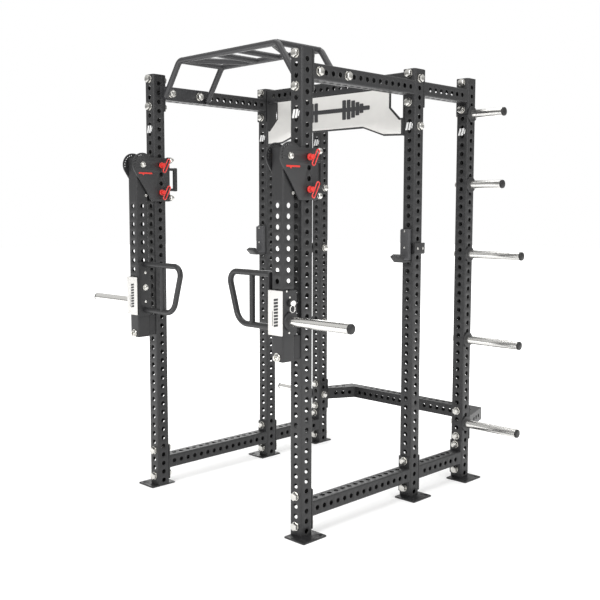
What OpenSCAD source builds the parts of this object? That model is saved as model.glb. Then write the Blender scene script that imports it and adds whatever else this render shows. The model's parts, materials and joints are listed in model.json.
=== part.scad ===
// Six-post power cage with a pair of swinging lever arms.
// +Z is up and -Y is the front, where the lever arms hang. +X is to the right when the
// front is looked at. The origin is on the floor, under the middle of the bounding box.

/* [Cage] */
// Distance between the left and right upright centres
span_x = 1150; // [900:10:1300]
// Distance between the front and middle upright centres
bay_front = 855; // [755:50:1005]
// Distance between the middle and rear upright centres
bay_rear = 490; // [440:50:690]
// Holes in each column of an upright
hole_rows = 46; // [42:1:48]

/* [Square tube] */
// Outside width of every square tube
tube = 75; // [70:1:80]
// Wall thickness of every square tube
wall = 3; // [2:0.5:4]
// Hole diameter along every tube
hole_d = 25; // [22:0.5:26]
// Distance between neighbouring holes
pitch = 50; // [50:1:50]

/* [Round tube] */
// Diameter of the pull-up bars and the arm handles
bar_d = 32; // [28:1:34]
// Diameter of the storage pegs and the weight horns
peg_d = 48; // [46:0.5:50]

/* [Lever arms] */
// Distance from an upright's centre forward to the arm's pivot
pivot_reach = 122.5; // [118:0.5:126]
// Hole row, counted from the floor, that the carriage's upper lock pin sits in
carriage_row = 36; // [24:1:38]
// Distance from the pivot down to the arm's lower end
arm_drop = 953; // [900:1:1000]
// Hole of the arm, counted from the top, that holds the sleeve
sleeve_row = 10; // [8:1:11]
// Length of each weight horn
horn_len = 382; // [300:1:420]

/* [Hidden] */
$fn = 48;

half_x = span_x / 2;
half_tube = tube / 2;
back_y = bay_front + bay_rear;
foot_t = 8;
// Floor to the lowest hole on the side (X) faces; the front (Y) faces are half a pitch higher
row_base = foot_t + 25;
upright_h = row_base + (hole_rows - 1) * pitch + 50;
top_row = hole_rows - 1;
// The bounding box runs from the carriage nose to the back of the stabiliser
nose_r = 65;
stabiliser_back = back_y + 290;
centre_y = (stabiliser_back - pivot_reach - nose_r) / 2;

bolt_d = 24;
head_af = 36;
head_h = 15;
// Extra diameter of a hole that a bolt passes through
bolt_play = 0.4;
washer_d = 44;
washer_t = 4;
nut_h = 19;
flange_t = 8;
flange_h = 200;
// A beam's flange is held by two bolts, three holes apart
bolt_gap = 3 * pitch;

top_beam_z = row_z(top_row - 1);
base_beam_z = row_z(2);
stabiliser_z = row_z(6);

plate_t = 8;
plate_gap = 4.5;
plate_in = half_tube + plate_gap;
plate_out = plate_in + plate_t;
pivot_z = row_z(carriage_row);
lock_rows = [carriage_row, carriage_row - 3];
carriage_mid = (row_z(lock_rows[0]) + row_z(lock_rows[1])) / 2;
arm_first_hole = 225;
sleeve_z = pivot_z - arm_first_hole - sleeve_row * pitch + pitch;

function row_z(row) = row_base + row * pitch;
function front_row_z(row) = row_z(row) + pitch / 2;

// ---------- shared shapes ----------

// Puts a sub-part drawn from the front uprights' centre line into the cage's own frame
module seat() translate([0, -centre_y, 0]) children();

// Draws the right-hand version for side 1 and its mirror image for side -1
module on_side(side) mirror([side < 0 ? 1 : 0, 0, 0]) children();

// Square section with small rounded corners, centred
module soft_square(size, r = 6) {
  steps = 3;
  polygon([for (c = [0:3], i = [0:steps])
    let (a = c * 90 + i * 90 / steps,
         sx = (c == 0 || c == 3) ? 1 : -1,
         sy = c < 2 ? 1 : -1)
    [sx * (size / 2 - r) + r * cos(a), sy * (size / 2 - r) + r * sin(a)]]);
}

// Hollow square tube from z 0 to z length
module square_tube(length) {
  difference() {
    linear_extrude(length) soft_square(tube);
    translate([0, 0, -1]) linear_extrude(length + 2) soft_square(tube - 2 * wall, 3);
  }
}

// Cylinder that lies along one of the axes, centred on the origin
module along_x(d, length) rotate([0, 90, 0]) cylinder(d = d, h = length, center = true);
module along_y(d, length) rotate([90, 0, 0]) cylinder(d = d, h = length, center = true);
module along_z(d, length) cylinder(d = d, h = length, center = true);

// Hexagonal bolt head or nut with its seat at the origin, pointing along +Z
module hexagon(af, height) cylinder(d = af / cos(30), h = height, $fn = 6);

// Flat ring with its seat at the origin
module ring(d_out, d_in, height) difference() {
  cylinder(d = d_out, h = height);
  translate([0, 0, -1]) cylinder(d = d_in, h = height + 2);
}

function unit(v) = v / norm(v);

// Points of a plane curve in X and Z with its inner corners rounded, a radius for each corner;
// a radius of 0 keeps the corner sharp
function rounded_path(points, radii) = let (last = len(points) - 1) concat([points[0]],
  [for (i = [1:last - 1]) if (radii[i - 1] == 0) points[i] else
    let (u = unit(points[i] - points[i - 1]), v = unit(points[i + 1] - points[i]), r = radii[i - 1])
    let (turn = acos(u * v), side = sign(u[0] * v[1] - u[1] * v[0]))
    let (centre = points[i] - u * r * tan(turn / 2) + side * r * [-u[1], u[0]])
    let (start = atan2(-side * u[0], side * u[1]), steps = ceil(turn / 60))
    for (k = [0:steps]) centre + r * [cos(start + side * k * turn / steps),
                                      sin(start + side * k * turn / steps)]],
  [points[last]]);

// Round bar along a rounded path; the knuckles stand a hair proud of the straight runs
module bent_bar(points, radii, d) {
  path = rounded_path(points, radii);
  last = len(path) - 1;
  for (i = [0:last - 1]) {
    run = path[i + 1] - path[i];
    translate([path[i][0], 0, path[i][1]]) rotate([0, 90 - atan2(run[1], run[0]), 0])
      cylinder(d = d, h = norm(run));
  }
  for (i = [1:last - 1]) translate([path[i][0], 0, path[i][1]]) sphere(d = d + 0.5);
}

// ---------- cage ----------

// Upright tube, perforated on all four faces
module upright(side, y) color([0.13, 0.13, 0.14]) seat() on_side(side) translate([half_x, y, 0])
  difference() {
    translate([0, 0, foot_t]) square_tube(upright_h - foot_t);
    for (row = [0:top_row]) {
      translate([0, 0, row_z(row)]) along_x(hole_d, tube + 10);
      translate([0, 0, front_row_z(row)]) along_y(hole_d, tube + 10);
    }
  }

// Plate under each upright, reaching outward from the cage, with two anchor holes
foot_y = 160;
foot_reach = 60;
anchor_hole_d = 18;
anchor_gap = 114;
anchor_x = half_x + half_tube + foot_reach - 22;
module foot_plates() color([0.13, 0.13, 0.14]) seat() for (side = [-1, 1], y = [0, bay_front, back_y])
  on_side(side) difference() {
    translate([half_x - half_tube, y - foot_y / 2, 0]) cube([tube + foot_reach, foot_y, foot_t]);
    for (end = [-1, 1]) translate([anchor_x, y + end * anchor_gap / 2, -1])
      cylinder(d = anchor_hole_d, h = foot_t + 2);
  }

// Perforated beam along Y between two uprights, with a bolted flange at each end
module side_beam(side, y0, y1, z) {
  length = y1 - y0 - tube;
  mid = (y0 + y1) / 2;
  // Holes sit on the pitch about the middle and stay clear of the flanges
  reach = floor((length / 2 - 30) / pitch);
  color([0.13, 0.13, 0.14]) seat() on_side(side) translate([half_x, mid, z])
    difference() {
      union() {
        translate([0, length / 2 - flange_t, 0]) rotate([90, 0, 0]) square_tube(length - 2 * flange_t);
        for (end = [-1, 1]) translate([0, end * (length - flange_t) / 2, 0])
          cube([tube, flange_t, flange_h], center = true);
      }
      for (i = [-reach:reach]) translate([0, i * pitch, 0]) along_x(hole_d, tube + 10);
      for (i = [-reach:reach - 1]) translate([0, (i + 0.5) * pitch, 0]) along_z(hole_d, tube + 10);
      for (dz = [-1, 1]) translate([0, 0, dz * bolt_gap / 2]) along_y(hole_d, length + 10);
    }
}

panel_t = 6;
banner_z = row_z(top_row);
gusset_low = banner_z - 298;

// Crossmember between the middle uprights, with deep flanges that also carry the banner
module banner_crossmember() {
  length = span_x - tube;
  low = gusset_low;
  high = banner_z + half_tube;
  color([0.13, 0.13, 0.14]) seat() translate([0, bay_front, 0]) {
    difference() {
      union() {
        translate([-length / 2 + flange_t, 0, banner_z]) rotate([0, 90, 0])
          square_tube(length - 2 * flange_t);
        for (end = [-1, 1]) translate([end * (length - flange_t) / 2 - flange_t / 2, -half_tube, low])
          cube([flange_t, tube, high - low]);
      }
      for (i = [-9:9]) translate([i * pitch, 0, banner_z]) along_z(hole_d, tube + 10);
      for (i = [-10:9]) translate([(i + 0.5) * pitch, 0, banner_z]) along_y(hole_d, tube + 10);
      for (row = [top_row, top_row - 5]) translate([0, 0, row_z(row)]) along_x(hole_d, length + 10);
    }
  }
}

// Steel sheet that hangs from the crossmember, with open corners beside the uprights
function banner_outline(inset) =
  let (top = banner_z - half_tube, edge = half_x - half_tube - flange_t)
  let (right = [[edge - inset, gusset_low + inset + 1], [400 - inset * 0.2, gusset_low + 6 + inset],
                [252 - inset * 0.3, gusset_low + 56 + inset]])
  let (notch = [[445 - inset, top - inset * 0.4], [445 - inset, top - 104 - inset * 0.4],
                [510 - inset * 0.6, top - 165 - inset], [edge - inset, top - 165 - inset]])
  concat(notch, right,
    [for (i = [2:-1:0]) [-right[i][0], right[i][1]]],
    [for (i = [3:-1:0]) [-notch[i][0], notch[i][1]]]);

module banner_sheet(inset, y, thick) seat() translate([0, bay_front - half_tube + y + thick, 0])
  rotate([90, 0, 0]) linear_extrude(thick) polygon(banner_outline(inset));

module banner_panel() color([0.13, 0.13, 0.14]) banner_sheet(0, 0, panel_t);

// Light sheet on the front of the banner, a little smaller all round
face_sheet_t = 2;
module banner_face() color([0.85, 0.85, 0.84]) banner_sheet(10, -face_sheet_t, face_sheet_t);

// Plain barbell sign on the banner
module banner_emblem() {
  z = banner_z - 130;
  y = bay_front - half_tube - face_sheet_t - 1.5;
  color([0.1, 0.1, 0.11]) seat() for (side = [-1, 1]) on_side(side) {
    translate([0, y, z - 9]) cube([300, 1.5, 18]);
    for (disc = [[150, 110], [180, 84], [206, 58]])
      translate([disc[0], y, z - disc[1] / 2]) cube([20, 1.5, disc[1]]);
  }
}

// Lean of the stabiliser's leg holes, and the way from its flange to the first of them
leg_lean = 24;
leg_hole_start = 72;

// Low rear frame: two legs that lean inward and a crossbeam, one closed tube outline
module rear_stabiliser() {
  flange_y = back_y + half_tube;
  beam_front = stabiliser_back - tube;
  inner = [half_x - half_tube, flange_y + flange_t];
  outer = [half_x + half_tube, flange_y + flange_t];
  corner_in = [half_x - 130, beam_front];
  corner_out = [half_x - 42, stabiliser_back];
  outline = [inner, outer, corner_out, [-corner_out[0], corner_out[1]],
    [-outer[0], outer[1]], [-inner[0], inner[1]], [-corner_in[0], corner_in[1]], corner_in];
  core = [inner + [wall, 0], outer - [wall, 0], corner_out - [wall, wall],
    [wall - corner_out[0], corner_out[1] - wall], [wall - outer[0], outer[1]],
    [-inner[0] - wall, inner[1]], [-corner_in[0] - wall, corner_in[1] + wall],
    corner_in + [wall, wall]];
  color([0.13, 0.13, 0.14]) seat() difference() {
    union() {
      translate([0, 0, stabiliser_z - half_tube]) difference() {
        linear_extrude(tube) polygon(outline);
        translate([0, 0, wall]) linear_extrude(tube - 2 * wall) polygon(core);
      }
      for (side = [-1, 1]) on_side(side)
        translate([half_x - half_tube, flange_y, stabiliser_z - flange_h / 2])
          cube([tube, flange_t, flange_h]);
    }
    translate([0, stabiliser_back - half_tube, stabiliser_z]) {
      for (i = [-8:8]) translate([i * pitch, 0, 0]) along_y(hole_d, tube + 10);
      for (i = [-8:7]) translate([(i + 0.5) * pitch, 0, 0]) along_z(hole_d, tube + 10);
    }
    for (side = [-1, 1], i = [0:2]) on_side(side)
      translate([half_x, flange_y + flange_t, stabiliser_z]) rotate([0, 0, leg_lean]) {
        translate([0, leg_hole_start + i * pitch, 0]) along_x(hole_d, 2 * tube);
        translate([0, leg_hole_start + (i - 0.5) * pitch, 0]) along_z(hole_d, tube + 10);
      }
    for (side = [-1, 1], dz = [-1, 1])
      translate([side * half_x, flange_y, stabiliser_z + dz * bolt_gap / 2]) along_y(hole_d, 40);
  }
}

// Where the pull-up unit stands over the front bay, and its height
grip_mid_y = bay_front / 2 - 5 * pitch;
grip_half_y = 150;
grip_z = top_beam_z + 158;
grip_half_x = 385;
grip_plate_t = 8;

// Multi-grip pull-up unit: two bent hoops, end bars, four grips and two mounting plates
module pull_up_frame() {
  plate_x = half_x - half_tube;
  foot = [plate_x - grip_plate_t - bar_d / 2 - 1, top_beam_z - 22];
  hoop = [[-foot[0], foot[1]], [-grip_half_x, grip_z], [grip_half_x, grip_z], foot];
  color([0.16, 0.16, 0.17]) seat() {
    for (end = [-1, 1]) translate([0, grip_mid_y + end * grip_half_y, 0])
      bent_bar(hoop, [0, 0], bar_d);
    for (side = [-1, 1]) on_side(side) {
      translate([grip_half_x - 6, grip_mid_y, grip_z]) along_y(bar_d - 3, 2 * grip_half_y);
      translate([85, grip_mid_y, grip_z]) along_y(bar_d - 2, 2 * grip_half_y);
      // Angled grip, wider at the front than at the back
      translate([245, grip_mid_y, grip_z]) rotate([0, 0, 34]) along_y(bar_d - 2, 2 * grip_half_y / cos(34));
      difference() {
        translate([plate_x - grip_plate_t, grip_mid_y - 170, top_beam_z - half_tube])
          cube([grip_plate_t, 340, tube]);
        for (end = [-1, 1]) translate([plate_x, grip_mid_y + end * 2 * pitch, top_beam_z])
          along_x(hole_d, 40);
      }
      for (end = [-1, 1])
        translate([plate_x - 30, grip_mid_y + end * grip_half_y - 4, top_beam_z - half_tube])
          cube([24, 8, 34]);
    }
  }
}

// ---------- fasteners ----------

// Every through bolt of the cage as [x, y, z, axis, grip length], with the head at the start.
// Axis "y" points back, "in" points from the outer side to the inner side and "out" the other way.
flange_rows = [top_row, top_row - 3, 3, 0];
function beam_bolts() = [for (row = flange_rows, bay = [0, 1, 2])
  let (y = [0, bay_front, back_y][bay])
  let (before = bay == 0 ? 0 : flange_t, after = bay == 2 ? 0 : flange_t)
  [half_x, y - half_tube - before, front_row_z(row), "y", tube + before + after]];
function stabiliser_bolts() = [for (row = [7, 4])
  [half_x, back_y - half_tube, front_row_z(row), "y", tube + flange_t]];
function banner_bolts() = [for (row = [top_row, top_row - 5])
  [half_x + half_tube, bay_front, row_z(row), "in", tube + flange_t]];
function grip_bolts() = [for (end = [-1, 1])
  [half_x + half_tube, grip_mid_y + end * 2 * pitch, top_beam_z, "in", tube + grip_plate_t]];
function all_bolts() = concat(beam_bolts(), stabiliser_bolts(), banner_bolts(), grip_bolts());

peg_rows = [6, 16, 26, 34, 42];
function peg_bolts() = [for (row = peg_rows) [half_x - half_tube, back_y, row_z(row), "out", tube + 20]];

// Turns a child that points along +Z to a bolt's own direction, with its seat at the bolt's start
module aim(bolt) translate([bolt[0], bolt[1], bolt[2]])
  rotate(bolt[3] == "y" ? [-90, 0, 0] : bolt[3] == "in" ? [0, -90, 0] : [0, 90, 0]) children();

module frame_bolts() color([0.75, 0.75, 0.73]) seat() for (side = [-1, 1]) on_side(side) {
  for (bolt = all_bolts()) aim(bolt) {
    translate([0, 0, -washer_t - head_h]) hexagon(head_af, head_h);
    translate([0, 0, -washer_t]) cylinder(d = bolt_d, h = bolt[4] + 2 * washer_t + nut_h + 6);
  }
  for (bolt = peg_bolts()) aim(bolt) {
    translate([0, 0, -washer_t - head_h]) hexagon(head_af, head_h);
    translate([0, 0, -washer_t]) cylinder(d = bolt_d, h = bolt[4]);
  }
}

module frame_washers() color([0.75, 0.75, 0.73]) seat() for (side = [-1, 1]) on_side(side) {
  for (bolt = all_bolts()) aim(bolt) {
    translate([0, 0, -washer_t]) ring(washer_d, bolt_d + bolt_play, washer_t);
    translate([0, 0, bolt[4]]) ring(washer_d, bolt_d + bolt_play, washer_t);
  }
  for (bolt = peg_bolts()) aim(bolt) translate([0, 0, -washer_t])
    ring(washer_d, bolt_d + bolt_play, washer_t);
}

module frame_nuts() color([0.75, 0.75, 0.73]) seat() for (side = [-1, 1]) on_side(side)
  for (bolt = all_bolts()) aim(bolt) translate([0, 0, bolt[4] + washer_t]) difference() {
    hexagon(head_af, nut_h);
    translate([0, 0, -1]) cylinder(d = bolt_d + bolt_play, h = nut_h + 2);
  }

// White plate on the front of each upright, with two plain dots
module upright_labels() color([0.9, 0.9, 0.9]) seat() for (side = [-1, 1], y = [0, bay_front, back_y])
  translate([side * half_x, y - half_tube, (front_row_z(top_row - 5) + front_row_z(top_row - 6)) / 2])
    difference() {
      translate([-24, -1, -23]) cube([48, 1, 46]);
      for (dz = [-9, 9]) translate([8, 0, dz]) along_y(9, 4);
    }

// ---------- weight storage ----------

base_t = 10;
cap_len = 12;
// A cap is no wider than its bar, so that a plate slides over it
cap_d = peg_d - 0.4;
function peg_len(row) = row > 30 ? 218 : 350;

module for_each_peg() seat() for (side = [-1, 1]) on_side(side) for (row = peg_rows)
  translate([half_x + half_tube, back_y, row_z(row)]) rotate([0, 90, 0]) {
    $length = peg_len(row);
    children();
  }

module storage_pegs() color([0.85, 0.85, 0.86]) for_each_peg() translate([0, 0, base_t]) difference() {
  cylinder(d = peg_d, h = $length - base_t - cap_len);
  translate([0, 0, 12]) cylinder(d = peg_d - 6, h = $length);
  translate([0, 0, -1]) cylinder(d = bolt_d + bolt_play, h = 14);
}

module peg_bases() color([0.13, 0.13, 0.14]) for_each_peg() ring(88, bolt_d + bolt_play, base_t);

module peg_caps() color([0.05, 0.05, 0.05]) for_each_peg() translate([0, 0, $length - cap_len]) {
  cylinder(d = cap_d, h = cap_len);
  translate([0, 0, -14]) cylinder(d = peg_d - 6.4, h = 14.5);
}

// ---------- J-cups ----------

jcup_row = 27;
jcup_w = 60;
jcup_low = row_z(jcup_row) - 75;

// Steel hook: back plate, shelf with a slanted lip, a side plate that wraps the upright
// and a round pin in the upright's hole
module jcup_bracket(side) {
  face = half_tube + 0.5;
  color([0.15, 0.15, 0.16]) seat() on_side(side) translate([half_x, bay_front, jcup_low]) {
    translate([-jcup_w / 2, -face - 6, 0]) cube([jcup_w / 2 + 37, 6, 182]);
    translate([jcup_w / 2, 0, 0]) rotate([90, 0, -90]) linear_extrude(jcup_w)
      polygon([[face, 0], [118, 0], [152, 31], [127, 45], [106, 12], [face, 12]]);
    translate([face + 2, -face - 6, 43]) cube([6, 98, 60]);
    translate([jcup_w / 2, -face - 6, 43]) cube([face + 8 - jcup_w / 2, 6, 60]);
    translate([0, -face + 17, front_row_z(jcup_row + 1) - jcup_low]) along_y(24, 36);
  }
}

// Plastic liner on the back plate and the shelf
module jcup_liner(side) {
  face = half_tube + 6.5;
  color([0.2, 0.2, 0.21]) seat() on_side(side) translate([half_x - jcup_w / 2 + 1, bay_front, jcup_low])
    rotate([90, 0, 90]) linear_extrude(jcup_w - 2)
      polygon([[-face, 12], [-face, 178], [-face - 18, 178], [-face - 24, 172], [-face - 24, 30],
               [-face - 30, 24], [-108, 24], [-104, 12]]);
}

// ---------- lever-arm carriages ----------

tie_y = 68;
tie_dz = 105;
tie_d = 16;
pivot_d = 20;
plate_top = carriage_mid + 117;
plate_low = carriage_mid - 125;

// Point where the line from p touches a circle; turn is 1 or -1 for the two tangents
function touch_point(centre, r, p, turn) =
  let (d = p - centre, a = atan2(d[1], d[0]) + turn * acos(r / norm(d)))
  centre + r * [cos(a), sin(a)];

// Side plate outline in Y and Z: round nose at the pivot, sloping front, two ears at the back
module side_plate_outline() {
  nose = [-pivot_reach, pivot_z];
  front_high = [-62, plate_top];
  front_low = [-64, plate_low];
  difference() {
    union() {
      translate(nose) circle(r = nose_r, $fn = 96);
      polygon([nose, touch_point(nose, nose_r, front_high, 1), front_high, [58, plate_top],
               [58, plate_low], front_low, touch_point(nose, nose_r, front_low, -1)]);
      for (end = [-1, 1]) translate([tie_y, carriage_mid + end * tie_dz]) {
        circle(r = 16);
        translate([-30, -16]) square([30, 32]);
      }
    }
    translate(nose) circle(d = pivot_d + bolt_play);
    for (row = [lock_rows[1]:lock_rows[0]]) translate([0, row_z(row)]) circle(d = hole_d);
    for (end = [-1, 1]) translate([tie_y, carriage_mid + end * tie_dz]) circle(d = tie_d + bolt_play);
    for (a = [100:15:190]) translate(nose + 53 * [cos(a), sin(a)]) circle(d = 8);
  }
}

// Welded carriage: two side plates, a plate behind the upright and the grab handle on it
rear_plate_y = 54;
grab_d = 18;
module carriage(side) {
  color([0.12, 0.12, 0.13]) seat() translate([side * half_x, 0, 0]) {
    for (x = [-plate_out, plate_in]) translate([x, 0, 0])
      rotate([90, 0, 90]) linear_extrude(plate_t) side_plate_outline();
    translate([-plate_in - 1, rear_plate_y, carriage_mid - 78])
      cube([2 * plate_in + 2, plate_t, 156]);
    for (end = [-1, 1]) translate([0, 97, carriage_mid + end * 57.5]) along_y(grab_d - 1, 74);
    translate([0, 134, carriage_mid]) cylinder(d = grab_d, h = 133, center = true);
  }
}

// Slippery strips between the carriage and the upright
module carriage_liners() color([0.25, 0.25, 0.26]) seat() for (side = [-1, 1])
  translate([side * half_x, 0, carriage_mid]) {
    for (x = [-plate_in, half_tube + 0.5], dz = [-100, 0, 100]) translate([x, -30, dz - 10])
      cube([plate_gap - 0.5, 60, 20]);
    translate([-30, half_tube + 0.5, -74]) cube([60, rear_plate_y - half_tube - 0.5, 148]);
  }

// Two tie bolts behind the upright, with hexagon heads outside both plates and a spacer between
module carriage_bolts() color([0.75, 0.75, 0.73]) seat() for (side = [-1, 1], end = [-1, 1])
  translate([side * half_x, tie_y, carriage_mid + end * tie_dz]) {
    along_x(tie_d, 2 * plate_out);
    along_x(24, 2 * plate_in);
    for (face = [-1, 1]) on_side(face) translate([plate_out, 0, 0]) rotate([0, 90, 0]) hexagon(26, 11);
  }

// Red pointer strip on the right-hand face of each carriage
module arrow_marks() color([0.8, 0.1, 0.08]) seat() for (side = [-1, 1])
  translate([side * half_x + plate_out, -106, pivot_z - 46]) rotate([90, 0, 90]) linear_extrude(1)
    polygon([[-44, -4], [-24, -4], [-14, -12], [-8, -4], [44, -4], [44, 4], [-44, 4]]);

// Pivot bolt through the plates and the arm
module pivot_bolts() color([0.78, 0.78, 0.76]) seat() for (side = [-1, 1])
  translate([side * half_x, -pivot_reach, pivot_z]) {
    along_x(pivot_d, 2 * plate_out);
    for (face = [-1, 1]) on_side(face) translate([plate_out, 0, 0]) rotate([0, 90, 0]) hexagon(34, 13);
  }

// Sprung lock pin: plunger into the upright, round knob and a long loop to pull
module lock_pin(side, row) {
  color([0.75, 0.08, 0.06]) seat() translate([side * half_x, 0, row_z(row)]) {
    translate([half_tube - 14, 0, 0]) rotate([0, 90, 0]) cylinder(d = 24, h = 14 + plate_gap + plate_t + 1);
    translate([plate_out + 1, 0, 0]) rotate([0, 90, 0]) cylinder(d = 32, h = 8);
    translate([plate_out + 9, 0, 0]) rotate([0, 90, 0]) cylinder(d = 25, h = 20);
    translate([plate_out + 20, 20, -2]) rotate([90, 0, 90]) rotate([0, 0, -28]) linear_extrude(7)
      difference() {
        loop_shape(12);
        loop_shape(6);
      }
  }
}

module loop_shape(r) {
  for (end = [-1, 1]) translate([0, end * 32]) circle(r = r);
  square([2 * r, 64], center = true);
}

// ---------- lever arms ----------

arm_low = pivot_z - arm_drop;
arm_high = pivot_z + 38;
arm_holes = 12;
bush_d = 44;
bush_bore = pivot_d + 0.1;
end_bolt_d = 16;
end_bolt_z = arm_low + 20;
pad_t = 47;
pad_low = arm_low + 5;
pad_h = 115;

// Perforated arm tube with a crosswise bore for the pivot bushes
module arm_tube(side) color([0.15, 0.15, 0.16]) seat()
  translate([side * half_x, -pivot_reach, arm_low]) difference() {
    square_tube(arm_high - arm_low);
    translate([0, 0, arm_drop]) along_x(bush_d + bolt_play, tube + 10);
    for (i = [0:arm_holes - 1]) translate([0, 0, arm_drop - arm_first_hole - i * pitch]) {
      along_y(hole_d, tube + 10);
      along_x(hole_d, tube + 10);
    }
    translate([0, 0, end_bolt_z - arm_low]) along_y(end_bolt_d + bolt_play, tube + 10);
  }

// One flanged bush at each side of the arm tube, running on the pivot bolt
module arm_bushes(side) color([0.6, 0.5, 0.3]) seat()
  translate([side * half_x, -pivot_reach, pivot_z]) for (face = [-1, 1]) on_side(face) rotate([0, 90, 0]) {
    translate([0, 0, 4]) ring(bush_d, bush_bore, half_tube - 4);
    translate([0, 0, half_tube]) ring(60, bush_bore, plate_gap - 0.5);
  }

// Rubber pad that rests the arm against the upright
module arm_pad(side) color([0.06, 0.06, 0.06]) seat()
  translate([side * half_x, -pivot_reach + half_tube, 0]) difference() {
    translate([-32, 0, pad_low]) cube([64, pad_t, pad_h]);
    translate([0, 0, end_bolt_z]) along_y(end_bolt_d + bolt_play, 44);
  }

sleeve_half = half_tube + 10.5;
sleeve_top = sleeve_z + 58;
sleeve_low = sleeve_z - 152;
handle_plate_t = 8;
handle_top = sleeve_z + 128.5;
handle_low = sleeve_z - 124.5;
horn_z = sleeve_z - 86;

// End bolt that holds the pad, the two stop studs that meet the carriage plates, the bolts of
// the handle's plate and the small screws of the sleeve's inner strips
module arm_hardware(side) color([0.75, 0.75, 0.73]) seat() translate([side * half_x, -pivot_reach, 0]) {
  translate([0, -half_tube, end_bolt_z]) rotate([90, 0, 0]) {
    cylinder(d = 44, h = 4);
    translate([0, 0, 4]) cylinder(d = 34, h = 12);
    translate([0, 0, -tube - 18]) cylinder(d = end_bolt_d, h = tube + 18);
  }
  for (face = [-1, 1]) on_side(face) translate([half_tube, 23, pivot_z - 168]) rotate([0, 90, 0])
    cylinder(d = 16, h = 8);
  on_side(side) {
    for (dz = [82, 0, -79]) translate([-sleeve_half - handle_plate_t, 0, sleeve_z + dz]) rotate([0, -90, 0])
      hexagon(24, 10);
    for (screw = [[-23.5, 55], [-3.5, 26], [-7.5, -139]])
      translate([sleeve_half, screw[0], sleeve_z + screw[1]]) rotate([0, 90, 0]) cylinder(d = 10, h = 2);
  }
}

// Welded sleeve: box around the arm, the horn's round base, the pull pin's boss, the tall inner
// plate and the handle with its upright grip
module arm_sleeve(side) color([0.14, 0.14, 0.15]) seat() on_side(side)
  translate([half_x, -pivot_reach, 0]) {
  difference() {
    union() {
      translate([-sleeve_half, -sleeve_half, sleeve_low])
        cube([2 * sleeve_half, 2 * sleeve_half, sleeve_top - sleeve_low]);
      translate([-sleeve_half - handle_plate_t, -44, sleeve_low - 5])
        cube([handle_plate_t, 74, handle_top - sleeve_low + 16]);
      translate([sleeve_half, 0, sleeve_z]) rotate([0, 90, 0]) cylinder(d = 34, h = 10);
      translate([sleeve_half, 0, horn_z]) rotate([0, 90, 0]) cylinder(d = 88, h = 10);
    }
    translate([-half_tube - 2.5, -half_tube - 2.5, sleeve_low - 1])
      cube([tube + 5, tube + 5, sleeve_top - sleeve_low + 2]);
    translate([half_tube, 0, sleeve_z]) rotate([0, 90, 0]) cylinder(d = 24, h = 30);
  }
  bent_bar([[-sleeve_half - 7, handle_top], [-388, handle_top], [-309, handle_low],
            [-sleeve_half - 7, handle_low]], [46, 80], bar_d - 2);
  translate([-213, 0, handle_low]) cylinder(d = bar_d - 3, h = handle_top - handle_low);
}

// Light plate on the front of the sleeve
module face_plate(side) color([0.88, 0.88, 0.87]) seat() on_side(side)
  translate([half_x - sleeve_half, -pivot_reach - sleeve_half - 3, sleeve_low])
    cube([2 * sleeve_half, 3, sleeve_top - sleeve_low]);

// Hollow chrome weight horn
module weight_horn(side) color([0.85, 0.85, 0.86]) seat() on_side(side)
  translate([half_x + sleeve_half, -pivot_reach, horn_z]) rotate([0, 90, 0]) {
    translate([0, 0, 10]) difference() {
      cylinder(d = peg_d, h = horn_len - 22);
      translate([0, 0, 8]) cylinder(d = peg_d - 6, h = horn_len);
    }
  }

module horn_cap(side) color([0.05, 0.05, 0.05]) seat() on_side(side)
  translate([half_x + sleeve_half + horn_len - cap_len, -pivot_reach, horn_z]) rotate([0, 90, 0]) {
    cylinder(d = cap_d, h = cap_len);
    translate([0, 0, -14]) cylinder(d = peg_d - 6.4, h = 14.5);
  }

// Sprung pull pin with a ring, from the outer face of the sleeve into the arm
module sleeve_pin(side) color([0.8, 0.8, 0.8]) seat() on_side(side)
  translate([half_x, -pivot_reach, sleeve_z]) {
    translate([half_tube - 15, 0, 0]) rotate([0, 90, 0]) cylinder(d = 23.8, h = 36);
    translate([half_tube + 21, 0, 0]) rotate([0, 90, 0]) cylinder(d = 28, h = 14);
    translate([half_tube + 26, 0, -27]) rotate([0, 90, 0])
      rotate_extrude() translate([16, 0]) circle(d = 4, $fn = 24);
  }

upright(-1, 0);  // upright_front_left
upright(1, 0);  // upright_front_right
upright(-1, bay_front);  // upright_middle_left
upright(1, bay_front);  // upright_middle_right
upright(-1, back_y);  // upright_rear_left
upright(1, back_y);  // upright_rear_right
side_beam(-1, 0, bay_front, top_beam_z);  // top_beam_front_left
side_beam(1, 0, bay_front, top_beam_z);  // top_beam_front_right
side_beam(-1, bay_front, back_y, top_beam_z);  // top_beam_rear_left
side_beam(1, bay_front, back_y, top_beam_z);  // top_beam_rear_right
side_beam(-1, 0, bay_front, base_beam_z);  // base_beam_front_left
side_beam(1, 0, bay_front, base_beam_z);  // base_beam_front_right
side_beam(-1, bay_front, back_y, base_beam_z);  // base_beam_rear_left
side_beam(1, bay_front, back_y, base_beam_z);  // base_beam_rear_right
banner_crossmember();
foot_plates();
banner_panel();
banner_face();
banner_emblem();
rear_stabiliser();
pull_up_frame();
frame_bolts();
frame_washers();
frame_nuts();
upright_labels();
storage_pegs();
peg_bases();
peg_caps();
jcup_bracket(-1);  // jcup_bracket_left
jcup_bracket(1);  // jcup_bracket_right
jcup_liner(-1);  // jcup_liner_left
jcup_liner(1);  // jcup_liner_right
carriage(-1);  // carriage_left
carriage(1);  // carriage_right
carriage_liners();
carriage_bolts();
arrow_marks();
pivot_bolts();
lock_pin(-1, lock_rows[0]);  // lock_pin_upper_left
lock_pin(-1, lock_rows[1]);  // lock_pin_lower_left
lock_pin(1, lock_rows[0]);  // lock_pin_upper_right
lock_pin(1, lock_rows[1]);  // lock_pin_lower_right
arm_tube(-1);  // arm_tube_left
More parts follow.
